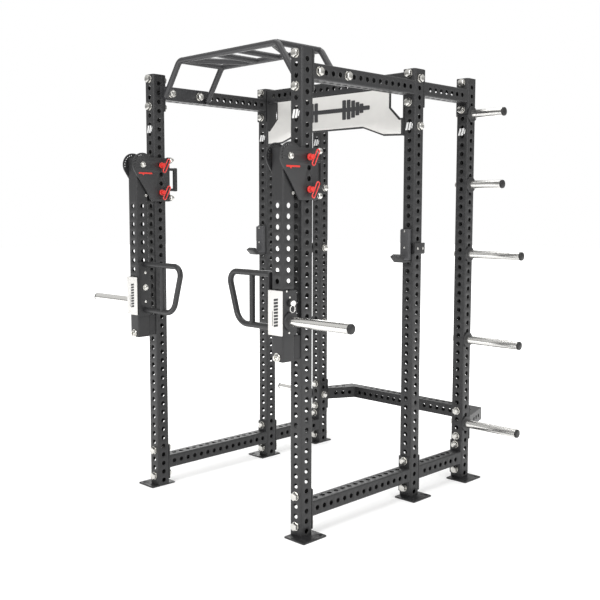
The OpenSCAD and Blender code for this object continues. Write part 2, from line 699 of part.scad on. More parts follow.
arm_tube(1);  // arm_tube_right
arm_bushes(-1);  // arm_bushes_left
arm_bushes(1);  // arm_bushes_right
arm_pad(-1);  // arm_pad_left
arm_pad(1);  // arm_pad_right
arm_hardware(-1);  // arm_hardware_left
arm_hardware(1);  // arm_hardware_right
arm_sleeve(-1);  // arm_sleeve_left
arm_sleeve(1);  // arm_sleeve_right
face_plate(-1);  // face_plate_left
face_plate(1);  // face_plate_right
weight_horn(-1);  // weight_horn_left
weight_horn(1);  // weight_horn_right
horn_cap(-1);  // horn_cap_left
horn_cap(1);  // horn_cap_right
sleeve_pin(-1);  // sleeve_pin_left
sleeve_pin(1);  // sleeve_pin_right
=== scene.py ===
"""Power cage: detailed pieces, materials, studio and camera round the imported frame."""
import json
import math

import bmesh
import bpy
from mathutils import Matrix, Vector


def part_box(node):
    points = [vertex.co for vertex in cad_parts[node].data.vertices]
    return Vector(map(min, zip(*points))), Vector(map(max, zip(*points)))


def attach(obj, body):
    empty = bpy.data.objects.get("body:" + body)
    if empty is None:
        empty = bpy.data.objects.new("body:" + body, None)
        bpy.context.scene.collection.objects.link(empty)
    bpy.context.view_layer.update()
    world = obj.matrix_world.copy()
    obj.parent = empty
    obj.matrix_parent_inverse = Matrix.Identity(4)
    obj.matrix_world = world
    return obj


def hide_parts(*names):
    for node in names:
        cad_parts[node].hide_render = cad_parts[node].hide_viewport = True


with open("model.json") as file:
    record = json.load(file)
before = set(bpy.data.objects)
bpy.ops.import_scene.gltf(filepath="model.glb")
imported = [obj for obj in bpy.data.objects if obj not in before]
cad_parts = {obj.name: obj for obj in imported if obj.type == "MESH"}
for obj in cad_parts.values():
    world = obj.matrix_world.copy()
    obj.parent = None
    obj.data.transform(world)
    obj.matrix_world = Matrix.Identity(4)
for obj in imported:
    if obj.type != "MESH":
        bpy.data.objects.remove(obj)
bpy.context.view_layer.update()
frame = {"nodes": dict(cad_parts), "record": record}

MM = 0.001
SIDES = {"left": -1, "right": 1}
BAYS = ("front", "middle", "rear")

# Square tube and its hole pattern
TUBE = 75 * MM
WALL = 3 * MM
TUBE_CORNER = 6 * MM
PITCH = 50 * MM
HOLE_R = 12.5 * MM
HOLE_EDGE = 0.9 * MM
FLAT_COLUMNS = 6
CORNER_STEPS = 4
HOLE_SEGMENTS = 4 * FLAT_COLUMNS
FACE_SPAN = FLAT_COLUMNS + CORNER_STEPS


# ---------- gathering and placing meshes ----------

def move(x=0.0, y=0.0, z=0.0):
    return Matrix.Translation((x, y, z))


def axes(x, y, z):
    """Rotation or mirror that sends the local axes to the three given directions."""
    return Matrix((x, y, z)).transposed().to_4x4()


ALONG_X = axes((0, 1, 0), (0, 0, 1), (1, 0, 0))
ALONG_Y = axes((1, 0, 0), (0, 0, -1), (0, 1, 0))
ALONG_Z = Matrix.Identity(4)
MIRROR_X = axes((-1, 0, 0), (0, 1, 0), (0, 0, 1))


class Shape:
    """Vertices and faces in metres, gathered from parts and then made into one piece."""

    def __init__(self):
        self.verts = []
        self.faces = []

    def add(self, part, place=ALONG_Z):
        verts, faces = part
        base = len(self.verts)
        flip = place.determinant() < 0
        self.verts += [place @ Vector(v) for v in verts]
        for face in faces:
            self.faces.append([base + i for i in (reversed(face) if flip else face)])
        return self

    def mesh(self, name):
        mesh = bpy.data.meshes.new(name)
        mesh.from_pydata([tuple(v) for v in self.verts], [], self.faces)
        bm = bmesh.new()
        bm.from_mesh(mesh)
        loose = [v for v in bm.verts if not v.link_faces]
        bmesh.ops.delete(bm, geom=loose, context="VERTS")
        bm.to_mesh(mesh)
        bm.free()
        mesh.shade_smooth()
        mesh.set_sharp_from_angle(angle=math.radians(38))
        return mesh

    def piece(self, name, body, slot, *replaced):
        return show(self.mesh(name), name, body, slot, *replaced)


def show(mesh, name, body, slot, *replaced, place=ALONG_Z):
    """Puts a mesh in the scene as a piece of a body, in the place of CAD nodes."""
    if not mesh.materials:
        mesh.materials.append(MATERIALS[slot])
    piece = bpy.data.objects.new(name, mesh)
    bpy.context.scene.collection.objects.link(piece)
    piece.matrix_world = place
    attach(piece, body)
    if replaced:
        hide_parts(*replaced)
    return piece


def solids(node):
    """Lowest corner, highest corner and points of each separate solid of a CAD node."""
    bm = bmesh.new()
    bm.from_mesh(frame["nodes"][node].data)
    bmesh.ops.remove_doubles(bm, verts=bm.verts, dist=1e-5)
    seen = set()
    found = []
    for start in bm.verts:
        if start in seen:
            continue
        seen.add(start)
        island = [start]
        for vert in island:
            for edge in vert.link_edges:
                other = edge.other_vert(vert)
                if other not in seen:
                    seen.add(other)
                    island.append(other)
        low = Vector([min(v.co[i] for v in island) for i in range(3)])
        high = Vector([max(v.co[i] for v in island) for i in range(3)])
        found.append((low, high, [v.co.copy() for v in island]))
    bm.free()
    return sorted(found, key=lambda s: tuple(round(c, 4) for c in s[0]))


# ---------- parts: each returns vertices and faces ----------

def turned(profile, segments=48):
    """Closed surface of revolution about Z through (radius, height) points, bottom to top."""
    verts = []
    faces = []
    rings = []
    for radius, height in profile:
        rings.append(len(verts))
        count = 1 if radius == 0 else segments
        for k in range(count):
            a = math.tau * k / segments
            verts.append((radius * math.cos(a), radius * math.sin(a), height))
    for i in range(len(profile) - 1):
        low_pole = profile[i][0] == 0
        high_pole = profile[i + 1][0] == 0
        for k in range(segments):
            n = (k + 1) % segments
            a = rings[i] + (0 if low_pole else k)
            b = rings[i] + (0 if low_pole else n)
            c = rings[i + 1] + (0 if high_pole else n)
            d = rings[i + 1] + (0 if high_pole else k)
            faces.append([a, b, c] if high_pole else [a, c, d] if low_pole else [a, b, c, d])
    return verts, faces


def disc(radius, height, edge=0.6 * MM, segments=48):
    """Solid round disc from height 0, with softened rims."""
    return turned([(0, 0), (radius - edge, 0), (radius, edge), (radius, height - edge),
                   (radius - edge, height), (0, height)], segments)


def ring(outer, inner, height, edge=0.5 * MM, segments=48):
    """Flat ring from height 0, with softened rims."""
    profile = [(inner, edge), (inner + edge, 0), (outer - edge, 0), (outer, edge),
               (outer, height - edge), (outer - edge, height), (inner + edge, height),
               (inner, height - edge), (inner, edge)]
    verts, faces = turned(profile, segments)
    return weld(verts, faces)


def weld(verts, faces):
    """Joins vertices that lie in one place."""
    index = {}
    remap = []
    kept = []
    for v in verts:
        key = tuple(round(c, 7) for c in v)
        if key not in index:
            index[key] = len(kept)
            kept.append(v)
        remap.append(index[key])
    joined = []
    for face in faces:
        corners = [remap[i] for i in face]
        corners = [c for k, c in enumerate(corners) if c != corners[k - 1]]
        if len(corners) > 2:
            joined.append(corners)
    return kept, joined


def hexagon(across, height, bore=0.0, segments=48):
    """Hexagon head or nut from height 0, with the turned chamfer on its far side."""
    flat = across / 2
    crown = flat * 0.95
    bottom = []
    shoulder = []
    top = []
    for k in range(segments):
        a = math.tau * k / segments
        folded = (math.degrees(a) + 30) % 60 - 30
        radius = flat / math.cos(math.radians(folded))
        drop = (radius - crown) * math.tan(math.radians(30))
        bottom.append((radius * math.cos(a), radius * math.sin(a), 0))
        shoulder.append((radius * math.cos(a), radius * math.sin(a), height - drop))
        top.append((crown * math.cos(a), crown * math.sin(a), height))
    rings = [bottom, shoulder, top]
    if bore:
        for z in (height, 0):
            rings.append([(bore * math.cos(math.tau * k / segments),
                           bore * math.sin(math.tau * k / segments), z) for k in range(segments)])
        rings.append(bottom)
        verts, faces = bridged(rings)
        return weld(verts, faces)
    verts, faces = bridged(rings)
    faces.append([2 * segments + k for k in range(segments)])
    faces.append([k for k in reversed(range(segments))])
    return verts, faces


def bridged(rings, closed_loop=False):
    """Quads between rings with the same number of points."""
    count = len(rings[0])
    verts = [v for loop in rings for v in loop]
    faces = []
    spans = len(rings) if closed_loop else len(rings) - 1
    for i in range(spans):
        here = i * count
        there = ((i + 1) % len(rings)) * count
        for k in range(count):
            n = (k + 1) % count
            faces.append([here + k, here + n, there + n, there + k])
    return verts, faces


def swept(path, radius, segments=24, closed=False):
    """Round bar along a list of points, with flat ends or as a closed loop."""
    points = [Vector(p) for p in path]
    count = len(points)
    rings = []
    side = None
    for i, point in enumerate(points):
        before = points[i - 1] if closed or i > 0 else point
        after = points[(i + 1) % count] if closed or i < count - 1 else point
        along = (after - before).normalized()
        if side is None:
            side = along.orthogonal().normalized()
            if closed:
                normal = (points[count // 3] - points[0]).cross(points[2 * count // 3] - points[0])
                side = normal.normalized()
        side = (side - along * side.dot(along)).normalized()
        up = along.cross(side)
        rings.append([point + radius * (math.cos(math.tau * k / segments) * side
                                        + math.sin(math.tau * k / segments) * up)
                      for k in range(segments)])
    verts, faces = bridged(rings, closed)
    if not closed:
        faces.append([k for k in reversed(range(segments))])
        faces.append([(count - 1) * segments + k for k in range(segments)])
    return verts, faces


def rounded(points, radii, steps=10):
    """Path through points with each inner corner replaced by an arc."""
    points = [Vector(p) for p in points]
    path = [points[0]]
    for i in range(1, len(points) - 1):
        into = (points[i] - points[i - 1]).normalized()
        out = (points[i + 1] - points[i]).normalized()
        turn = into.angle(out)
        cut = radii[i - 1] * math.tan(turn / 2)
        start = points[i] - into * cut
        normal = (out - into * out.dot(into)).normalized()
        centre = start + normal * radii[i - 1]
        for k in range(steps + 1):
            a = turn * k / steps
            path.append(centre + radii[i - 1] * (math.sin(a) * into - math.cos(a) * normal))
    path.append(points[-1])
    return path


def arc(centre, radius, start, end, steps=16):
    """Points of a circular arc, angles in degrees."""
    points = []
    for k in range(steps + 1):
        a = math.radians(start + (end - start) * k / steps)
        points.append((centre[0] + radius * math.cos(a), centre[1] + radius * math.sin(a)))
    return points


def rectangle(width, height, corner, centre=(0, 0)):
    """Outline of a rectangle with round corners."""
    points = []
    for quarter, (sx, sy) in enumerate(((1, 1), (-1, 1), (-1, -1), (1, -1))):
        at = (centre[0] + sx * (width / 2 - corner), centre[1] + sy * (height / 2 - corner))
        points += arc(at, corner, 90 * quarter, 90 * quarter + 90, 5)
    return points


def plate(outline, thickness, holes=(), edge=0.7 * MM):
    """Flat plate in X and Y, centred on Z, with round holes (x, y, radius) and softened edges."""
    curve = bpy.data.curves.new("outline", "CURVE")
    curve.dimensions = "2D"
    curve.fill_mode = "BOTH"
    curve.extrude = thickness / 2 - edge
    curve.bevel_depth = edge
    curve.bevel_resolution = 1
    curve.offset = -edge
    loops = [outline]
    for x, y, radius in holes:
        loops.append(list(reversed(arc((x, y), radius, 0, 360 * 31 / 32, 31))))
    for loop in loops:
        spline = curve.splines.new("POLY")
        spline.points.add(len(loop) - 1)
        for point, (x, y) in zip(spline.points, loop):
            point.co = (x, y, 0, 1)
        spline.use_cyclic_u = True
    holder = bpy.data.objects.new("outline", curve)
    mesh = holder.to_mesh()
    verts = [tuple(v.co) for v in mesh.vertices]
    faces = [list(p.vertices) for p in mesh.polygons]
    holder.to_mesh_clear()
    bpy.data.objects.remove(holder)
    bpy.data.curves.remove(curve)
    return weld(verts, faces)


def tube_loop(half, corner):
    """Points round a square section: six columns on each face and a few round each corner."""
    flat = half - corner
    points = []
    for quarter in range(4):
        turn = Matrix.Rotation(math.radians(90 * quarter), 2)
        for k in range(FLAT_COLUMNS):
            points.append(turn @ Vector((half, flat * (2 * k / FLAT_COLUMNS - 1))))
        for k in range(CORNER_STEPS):
            a = math.radians(90 * k / CORNER_STEPS)
            points.append(turn @ Vector((flat + corner * math.cos(a), flat + corner * math.sin(a))))
    return points


def square_tube(low, high, holes_x=(), holes_y=(), size=TUBE, wall=WALL, corner=TUBE_CORNER):
    """Square tube along Z. Holes are (height, radius) pairs through the X faces and the Y faces;
    all heights lie on one grid of half a pitch."""
    half = size / 2
    step = PITCH / FLAT_COLUMNS
    origin = (list(holes_x) + list(holes_y) + [(low, 0)])[0][0]
    first = math.ceil((low - origin) / step + 0.01)
    last = math.floor((high - origin) / step - 0.01)
    stations = [low] + [origin + k * step for k in range(first, last + 1)] + [high]
    if not holes_x and not holes_y:
        stations = [low, high]
    outer = tube_loop(half, corner)
    inner = tube_loop(half - wall, corner - wall)
    count = len(outer)
    verts = [(p[0], p[1], z) for loop in (outer, inner) for z in stations for p in loop]
    faces = []
    inside = len(stations) * count

    def station(z):
        return min(range(len(stations)), key=lambda j: abs(stations[j] - z))

    cut = set()
    rims = []
    for quarters, holes in (((0, 2), holes_x), ((1, 3), holes_y)):
        for height, radius in holes:
            row = station(height - PITCH / 2)
            for quarter in quarters:
                column = quarter * FACE_SPAN
                rims.append((quarter, column, row, height, radius))
                cut |= {(row + j, column + i) for j in range(FLAT_COLUMNS) for i in range(FLAT_COLUMNS)}
    for j in range(len(stations) - 1):
        for i in range(count):
            if (j, i) in cut:
                continue
            n = (i + 1) % count
            a, b, c, d = j * count + i, j * count + n, (j + 1) * count + n, (j + 1) * count + i
            faces.append([a, b, c, d])
            faces.append([inside + d, inside + c, inside + b, inside + a])
    for i in range(count):
        n = (i + 1) % count
        top = (len(stations) - 1) * count
        faces.append([inside + i, inside + n, n, i])
        faces.append([top + i, top + n, inside + top + n, inside + top + i])
    for quarter, column, row, height, radius in rims:
        turn = Matrix.Rotation(math.radians(90 * quarter), 3, "Z")
        span = range(FLAT_COLUMNS)
        border = [(0, i) for i in span] + [(j, FLAT_COLUMNS) for j in span]
        border += [(FLAT_COLUMNS, FLAT_COLUMNS - i) for i in span]
        border += [(FLAT_COLUMNS - j, 0) for j in span]
        loops = [[(row + j) * count + column + i for j, i in border]]
        for r, depth in ((radius + HOLE_EDGE, 0), (radius + HOLE_EDGE * 0.3, HOLE_EDGE * 0.3),
                         (radius, HOLE_EDGE), (radius, wall)):
            base = len(verts)
            for k in range(HOLE_SEGMENTS):
                a = math.radians(225) + math.tau * k / HOLE_SEGMENTS
                point = turn @ Vector((half - depth, r * math.cos(a), r * math.sin(a)))
                verts.append((point[0], point[1], point[2] + height))
            loops.append([base + k for k in range(HOLE_SEGMENTS)])
        loops.append([inside + k for k in loops[0]])
        for here, there in zip(loops, loops[1:]):
            for k in range(HOLE_SEGMENTS):
                n = (k + 1) % HOLE_SEGMENTS
                faces.append([here[k], here[n], there[n], there[k]])
    return verts, faces


def every(start, end, radius=HOLE_R):
    """Holes on the pitch from start to end."""
    return [(start + PITCH * k, radius) for k in range(round((end - start) / PITCH) + 1)]


def at(x, y, z):
    """Place given in millimetres."""
    return move(x * MM, y * MM, z * MM)


def mm(*points):
    """Points given in millimetres, as a list in metres."""
    return [tuple(c * MM for c in p) for p in points]


def centre(node):
    low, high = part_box(node)
    return (low + high) / 2


# ---------- materials ----------

def link(tree, source, output, target, entry):
    tree.links.new(source.outputs[output], target.inputs[entry])


def surface(name, colour, roughness, metallic=0.0, mottle=0.12, grain=900.0, relief=0.03 * MM,
            spread=0.05, stretch=(1, 1, 1), coat=0.0):
    """Finish with a slow mottle in its colour and a fine grain in its gloss and relief."""
    material = bpy.data.materials.new(name)
    material.use_nodes = True
    tree = material.node_tree
    shader = tree.nodes["Principled BSDF"]
    shader.inputs["Metallic"].default_value = metallic
    shader.inputs["Coat Weight"].default_value = coat
    shader.inputs["Coat Roughness"].default_value = 0.12
    coords = tree.nodes.new("ShaderNodeTexCoord")
    scaled = tree.nodes.new("ShaderNodeMapping")
    scaled.inputs["Scale"].default_value = stretch
    link(tree, coords, "Object", scaled, "Vector")
    slow = tree.nodes.new("ShaderNodeTexNoise")
    slow.inputs["Scale"].default_value = 22.0
    slow.inputs["Detail"].default_value = 4.0
    link(tree, coords, "Object", slow, "Vector")
    fine = tree.nodes.new("ShaderNodeTexNoise")
    fine.inputs["Scale"].default_value = grain
    fine.inputs["Detail"].default_value = 2.0
    link(tree, scaled, "Vector", fine, "Vector")
    blend = tree.nodes.new("ShaderNodeMixRGB")
    blend.inputs["Color1"].default_value = (*[c * (1 - mottle) for c in colour], 1)
    blend.inputs["Color2"].default_value = (*[min(1.0, c * (1 + mottle)) for c in colour], 1)
    link(tree, slow, "Fac", blend, "Fac")
    link(tree, blend, "Color", shader, "Base Color")
    gloss = tree.nodes.new("ShaderNodeMapRange")
    gloss.inputs["From Min"].default_value = 0.3
    gloss.inputs["From Max"].default_value = 0.7
    gloss.inputs["To Min"].default_value = max(0.02, roughness - spread)
    gloss.inputs["To Max"].default_value = roughness + spread
    link(tree, fine, "Fac", gloss, "Value")
    link(tree, gloss, "Result", shader, "Roughness")
    bump = tree.nodes.new("ShaderNodeBump")
    bump.inputs["Strength"].default_value = 0.35
    bump.inputs["Distance"].default_value = relief
    link(tree, fine, "Fac", bump, "Height")
    link(tree, bump, "Normal", shader, "Normal")
    return material


BRUSHED = (1, 1, 0.04)
MATERIALS = {
    "frame_coat": surface("powder_coat_frame", (0.016, 0.016, 0.017), 0.42, relief=0.05 * MM),
    "bracket_coat": surface("powder_coat_brackets", (0.015, 0.015, 0.016), 0.42, relief=0.05 * MM),
    "bar_coat": surface("powder_coat_bars", (0.026, 0.026, 0.028), 0.38, relief=0.04 * MM),
    "banner_coat": surface("powder_coat_banner", (0.015, 0.015, 0.016), 0.45),
    "light_sheet": surface("satin_light_sheet", (0.66, 0.65, 0.63), 0.36, metallic=0.35, mottle=0.05,
                           grain=500.0, stretch=BRUSHED, relief=0.01 * MM),
    "dark_print": surface("dark_print", (0.025, 0.025, 0.027), 0.4),
    "zinc": surface("bright_zinc", (0.66, 0.65, 0.62), 0.24, metallic=1.0, mottle=0.05, grain=600.0,
                    relief=0.004 * MM),
    "label": surface("label_enamel", (0.66, 0.66, 0.66), 0.4, mottle=0.03, relief=0.005 * MM),
    "chrome": surface("chrome_plate", (0.80, 0.79, 0.77), 0.2, metallic=1.0, mottle=0.02, grain=240.0,
                      relief=0.0, spread=0.02),
    "black_cap": surface("black_cap_plastic", (0.006, 0.006, 0.006), 0.45, relief=0.02 * MM),
    "liner": surface("liner_plastic", (0.045, 0.045, 0.048), 0.5, relief=0.04 * MM),
    "red_mark": surface("red_mark", (0.62, 0.03, 0.02), 0.35, mottle=0.05, coat=0.3),
    "red_pin": surface("red_pin_coat", (0.60, 0.025, 0.018), 0.34, mottle=0.06, coat=0.35),
    "bush": surface("bush_bronze", (0.5, 0.38, 0.2), 0.4, metallic=1.0),
    "pad": surface("pad_rubber", (0.018, 0.018, 0.019), 0.62, mottle=0.2, relief=0.08 * MM),
}

for entry in frame["record"]["subparts"]:
    for slot in frame["nodes"][entry["node"]].material_slots:
        slot.material = MATERIALS[entry["material_slot"]]


# ---------- cage ----------

def build_uprights():
    low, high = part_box("upright_front_left")
    length = high.z - low.z
    rows = round((length - PITCH / 2) / PITCH)
    first = PITCH / 2
    shared = Shape().add(square_tube(0, length, every(first, first + (rows - 1) * PITCH),
                                     every(2 * first, 2 * first + (rows - 1) * PITCH))).mesh("upright")
    for bay in BAYS:
        for side in SIDES:
            node = f"upright_{bay}_{side}"
            spot = centre(node)
            show(shared, node + "_tube", "cage", "frame_coat", node,
                 place=move(spot.x, spot.y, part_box(node)[0].z))


FLANGE = 8 * MM


def build_beams():
    for bay in ("front", "rear"):
        low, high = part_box(f"top_beam_{bay}_left")
        half = (high.y - low.y) / 2
        reach = math.floor((half - 30 * MM) / PITCH) * PITCH
        shape = Shape().add(square_tube(FLANGE - half, half - FLANGE, every(-reach, reach),
                                        every(PITCH / 2 - reach, reach - PITCH / 2)), ALONG_Y)
        for end in (-1, 1):
            flange = plate(rectangle(TUBE, high.z - low.z, 4 * MM), FLANGE)
            shape.add(flange, move(y=end * (half - FLANGE / 2)) @ ALONG_Y)
        shared = shape.mesh(f"beam_{bay}")
        for level in ("top", "base"):
            for side in SIDES:
                node = f"{level}_beam_{bay}_{side}"
                show(shared, node + "_tube", "cage", "frame_coat", node, place=move(*centre(node)))


def build_foot_plates():
    shape = Shape()
    for low, high, _ in solids("foot_plates"):
        middle = (low + high) / 2
        away = math.copysign(1, middle.x)
        anchor_x = away * (high.x - low.x) / 2 - away * 22 * MM
        holes = [(anchor_x, end * 57 * MM, 9 * MM) for end in (-1, 1)]
        foot = plate(rectangle(high.x - low.x, high.y - low.y, 5 * MM), high.z - low.z, holes)
        shape.add(foot, move(*middle))
    shape.piece("foot_plates_cut", "cage", "frame_coat", "foot_plates")


def build_crossmember():
    low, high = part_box("banner_crossmember")
    z = high.z - TUBE / 2
    half = high.x - FLANGE
    shape = Shape().add(square_tube(-half, half, every(-475 * MM, 475 * MM), every(-450 * MM, 450 * MM)),
                        move(y=(low.y + high.y) / 2, z=z) @ ALONG_X)
    for end in (-1, 1):
        flange = plate(rectangle(TUBE, high.z - low.z, 4 * MM), FLANGE)
        shape.add(flange, move(end * (high.x - FLANGE / 2), (low.y + high.y) / 2, (low.z + high.z) / 2)
                  @ ALONG_X)
    shape.piece("banner_crossmember_tube", "cage", "frame_coat", "banner_crossmember")


def banner_outline(inset):
    """Half outline mirrored: open corners at the top, sloping ends at the bottom."""
    low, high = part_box("banner_panel")
    edge, bottom, top = high.x / MM, low.z / MM, high.z / MM
    half = [(252 - inset * 0.3, bottom + 55 + inset), (400 - inset * 0.2, bottom + 5 + inset),
            (edge - inset, bottom + inset), (edge - inset, top - 165 - inset),
            (510 - inset * 0.6, top - 165 - inset), (445 - inset, top - 104 - inset * 0.4),
            (445 - inset, top - inset * 0.4)]
    return mm(*half, *[(-x, z) for x, z in reversed(half)])


FACING_FRONT = axes((1, 0, 0), (0, 0, 1), (0, -1, 0))


def build_banner():
    low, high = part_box("banner_panel")
    panel = plate(banner_outline(0), high.y - low.y, edge=0.8 * MM)
    Shape().add(panel, move(y=(low.y + high.y) / 2) @ FACING_FRONT).piece(
        "banner_panel_sheet", "cage", "banner_coat", "banner_panel")
    low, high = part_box("banner_face")
    face = plate(banner_outline(10), high.y - low.y, edge=0.5 * MM)
    Shape().add(face, move(y=(low.y + high.y) / 2) @ FACING_FRONT).piece(
        "banner_face_sheet", "cage", "light_sheet", "banner_face")
    low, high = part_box("banner_emblem")
    y, z = (low.y + high.y) / 2, (low.z + high.z) / 2
    shape = Shape()
    thick = high.y - low.y
    shape.add(plate(rectangle(high.x - low.x, 24 * MM, 6 * MM), thick, edge=0.3 * MM),
              move(0, y, z) @ FACING_FRONT)
    for end in (-1, 1):
        for x, height in ((110, 110), (144, 110), (178, 96), (210, 74), (240, 52)):
            weight = plate(rectangle(28 * MM, height * MM, 5 * MM), thick * 1.2, edge=0.3 * MM)
            shape.add(weight, at(end * x, 0, 0) @ move(0, y, z) @ FACING_FRONT)
    shape.piece("banner_emblem_sign", "cage", "dark_print", "banner_emblem")


def build_pull_up_frame():
    low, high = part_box("pull_up_frame")
    bar = 16 * MM
    z = high.z - bar
    y = (low.y + high.y) / 2
    reach = 150 * MM
    half = 385 * MM
    foot_x, foot_z = high.x - FLANGE - bar - MM, low.z + 15.5 * MM
    shape = Shape()
    for end in (-1, 1):
        hoop = [(-foot_x, end * reach, foot_z - z), (-half, end * reach, 0), (half, end * reach, 0),
                (foot_x, end * reach, foot_z - z)]
        shape.add(swept(rounded(hoop, [45 * MM, 45 * MM]), bar, 32), move(0, y, z))
    for side in (-1, 1):
        grips = [[(0.379, -reach), (0.379, reach)], [(0.085, -reach), (0.085, reach)],
                 [(0.345, -reach), (0.148, reach)]]
        for start, stop in grips:
            shape.add(swept([(side * start[0], start[1], 0), (side * stop[0], stop[1], 0)], 15 * MM, 32),
                      move(0, y, z))
        wing = plate(rectangle(high.y - low.y, TUBE, 5 * MM), FLANGE)
        shape.add(wing, move(side * (high.x - FLANGE / 2), y, low.z + TUBE / 2) @ ALONG_X)
        for end in (-1, 1):
            tab = plate(mm((-14, -17), (14, -17), (14, 17), (-8, 17), (-14, 4)), FLANGE)
            shape.add(tab, move(side * (high.x - 20 * MM), y + end * reach, low.z + 17 * MM)
                      @ axes((side, 0, 0), (0, 0, 1), (0, -side, 0)))
    shape.piece("pull_up_bars", "cage", "bar_coat", "pull_up_frame")


# ---------- fasteners ----------

def longest_axis(low, high):
    size = high - low
    return max(range(3), key=lambda i: size[i])


def pointing(direction):
    """Rotation that sends the local Z axis to a direction."""
    return Vector(direction).to_track_quat("Z", "Y").to_matrix().to_4x4()


HEAD_HEIGHT = 15 * MM
# Farther than this from a bolt's axis there is only its head
BEYOND_SHANK = 14 * MM
THREADS = 14
THREAD_PITCH = 1.8 * MM


def thin_axis(low, high):
    """Index, direction and length of a flat solid's shortest side."""
    size = high - low
    axis = min(range(3), key=lambda i: size[i])
    direction = Vector([1 if i == axis else 0 for i in range(3)])
    return axis, direction, size[axis]


def build_fasteners():
    bolts = Shape()
    for low, high, verts in solids("frame_bolts"):
        axis = longest_axis(low, high)
        middle = (low + high) / 2
        spokes = [v - middle for v in verts]
        wide = [s for s in spokes if s.dot(s) - s[axis] ** 2 > BEYOND_SHANK ** 2]
        head_side = 1 if wide[0][axis] > 0 else -1
        direction = Vector([head_side if i == axis else 0 for i in range(3)])
        head_end = middle.copy()
        head_end[axis] = high[axis] if head_side > 0 else low[axis]
        seat = head_end - direction * HEAD_HEIGHT
        turn = pointing(direction)
        bolts.add(hexagon(36 * MM, HEAD_HEIGHT), Matrix.Translation(seat) @ turn)
        shank = high[axis] - low[axis] - HEAD_HEIGHT
        profile = [(0, -shank), (10.5 * MM, -shank), (12 * MM, 1.5 * MM - shank)]
        for k in range(THREADS):
            z = 3 * MM - shank + k * THREAD_PITCH
            profile += [(12 * MM, z), (11.2 * MM, z + 0.9 * MM)]
        profile += [(12 * MM, profile[-1][1] + 0.9 * MM), (12 * MM, 0), (0, 0)]
        bolts.add(turned(profile, 32), Matrix.Translation(seat) @ turn)
    bolts.piece("frame_bolt_set", "cage", "zinc", "frame_bolts")
    washers = Shape()
    for low, high, _ in solids("frame_washers"):
        axis, direction, height = thin_axis(low, high)
        start = (low + high) / 2 - direction * height / 2
        washers.add(ring(22 * MM, 12.2 * MM, height), Matrix.Translation(start) @ pointing(direction))
    washers.piece("frame_washer_set", "cage", "zinc", "frame_washers")
    nuts = Shape()
    for low, high, _ in solids("frame_nuts"):
        axis, direction, height = thin_axis(low, high)
        if axis == 0:
            direction = direction if (low + high)[0] < 0 else -direction
        start = (low + high) / 2 - direction * height / 2
        nuts.add(hexagon(36 * MM, height, 12.2 * MM), Matrix.Translation(start) @ pointing(direction))
    nuts.piece("frame_nut_set", "cage", "zinc", "frame_nuts")


def build_labels():
    """Plain slanted bars in white on the front of each upright."""
    shape = Shape()
    for low, high, _ in solids("upright_labels"):
        middle = (low + high) / 2
        for x, width, height in ((-15, 13, 40), (4, 13, 40), (18, 6, 24)):
            lean = height * 0.12
            bar = mm((-width / 2 - lean, -height / 2), (width / 2 - lean, -height / 2),
                     (width / 2 + lean, height / 2), (-width / 2 + lean, height / 2))
            shape.add(plate(bar, high.y - low.y, edge=0.3 * MM),
                      Matrix.Translation(middle) @ at(x, 0, 0) @ FACING_FRONT)
    shape.piece("upright_marks", "cage", "label", "upright_labels")


# ---------- pegs and horns ----------

ROD_R = 24 * MM
CAP_HEIGHT = 12 * MM


def cap():
    """Push-in end cap, domed, from height 0."""
    return turned(mm((0, 0), (23.3, 0), (23.8, 0.6), (23.8, 8), (23, 10.5), (20.5, 12), (0, 12)), 64)


def rod(low, high):
    """Chrome bar as long as the box of the CAD's bar."""
    return disc(ROD_R, high.x - low.x, 0.8 * MM, 64)


def outward(low, high, back_from_tip=None):
    """Place at a bar's inner end, or at a distance back from its tip, with Z pointing outward."""
    side = math.copysign(1, low.x)
    x = low.x if side > 0 else high.x
    if back_from_tip is not None:
        x = (high.x if side > 0 else low.x) - side * back_from_tip
    return move(x, (low.y + high.y) / 2, (low.z + high.z) / 2) @ pointing((side, 0, 0))


def build_pegs():
    pegs = Shape()
    for low, high, _ in solids("storage_pegs"):
        pegs.add(rod(low, high), outward(low, high))
    pegs.piece("storage_peg_set", "cage", "chrome", "storage_pegs")
    bases = Shape()
    for low, high, _ in solids("peg_bases"):
        collar = turned(mm((0, 0), (43, 0), (44, 1), (44, 7), (42, 9), (28, 10), (0, 10)), 64)
        bases.add(collar, outward(low, high))
    bases.piece("peg_base_set", "cage", "frame_coat", "peg_bases")
    caps = Shape()
    for low, high, _ in solids("peg_caps"):
        caps.add(cap(), outward(low, high, CAP_HEIGHT))
    caps.piece("peg_cap_set", "cage", "black_cap", "peg_caps")


# ---------- J-cups ----------

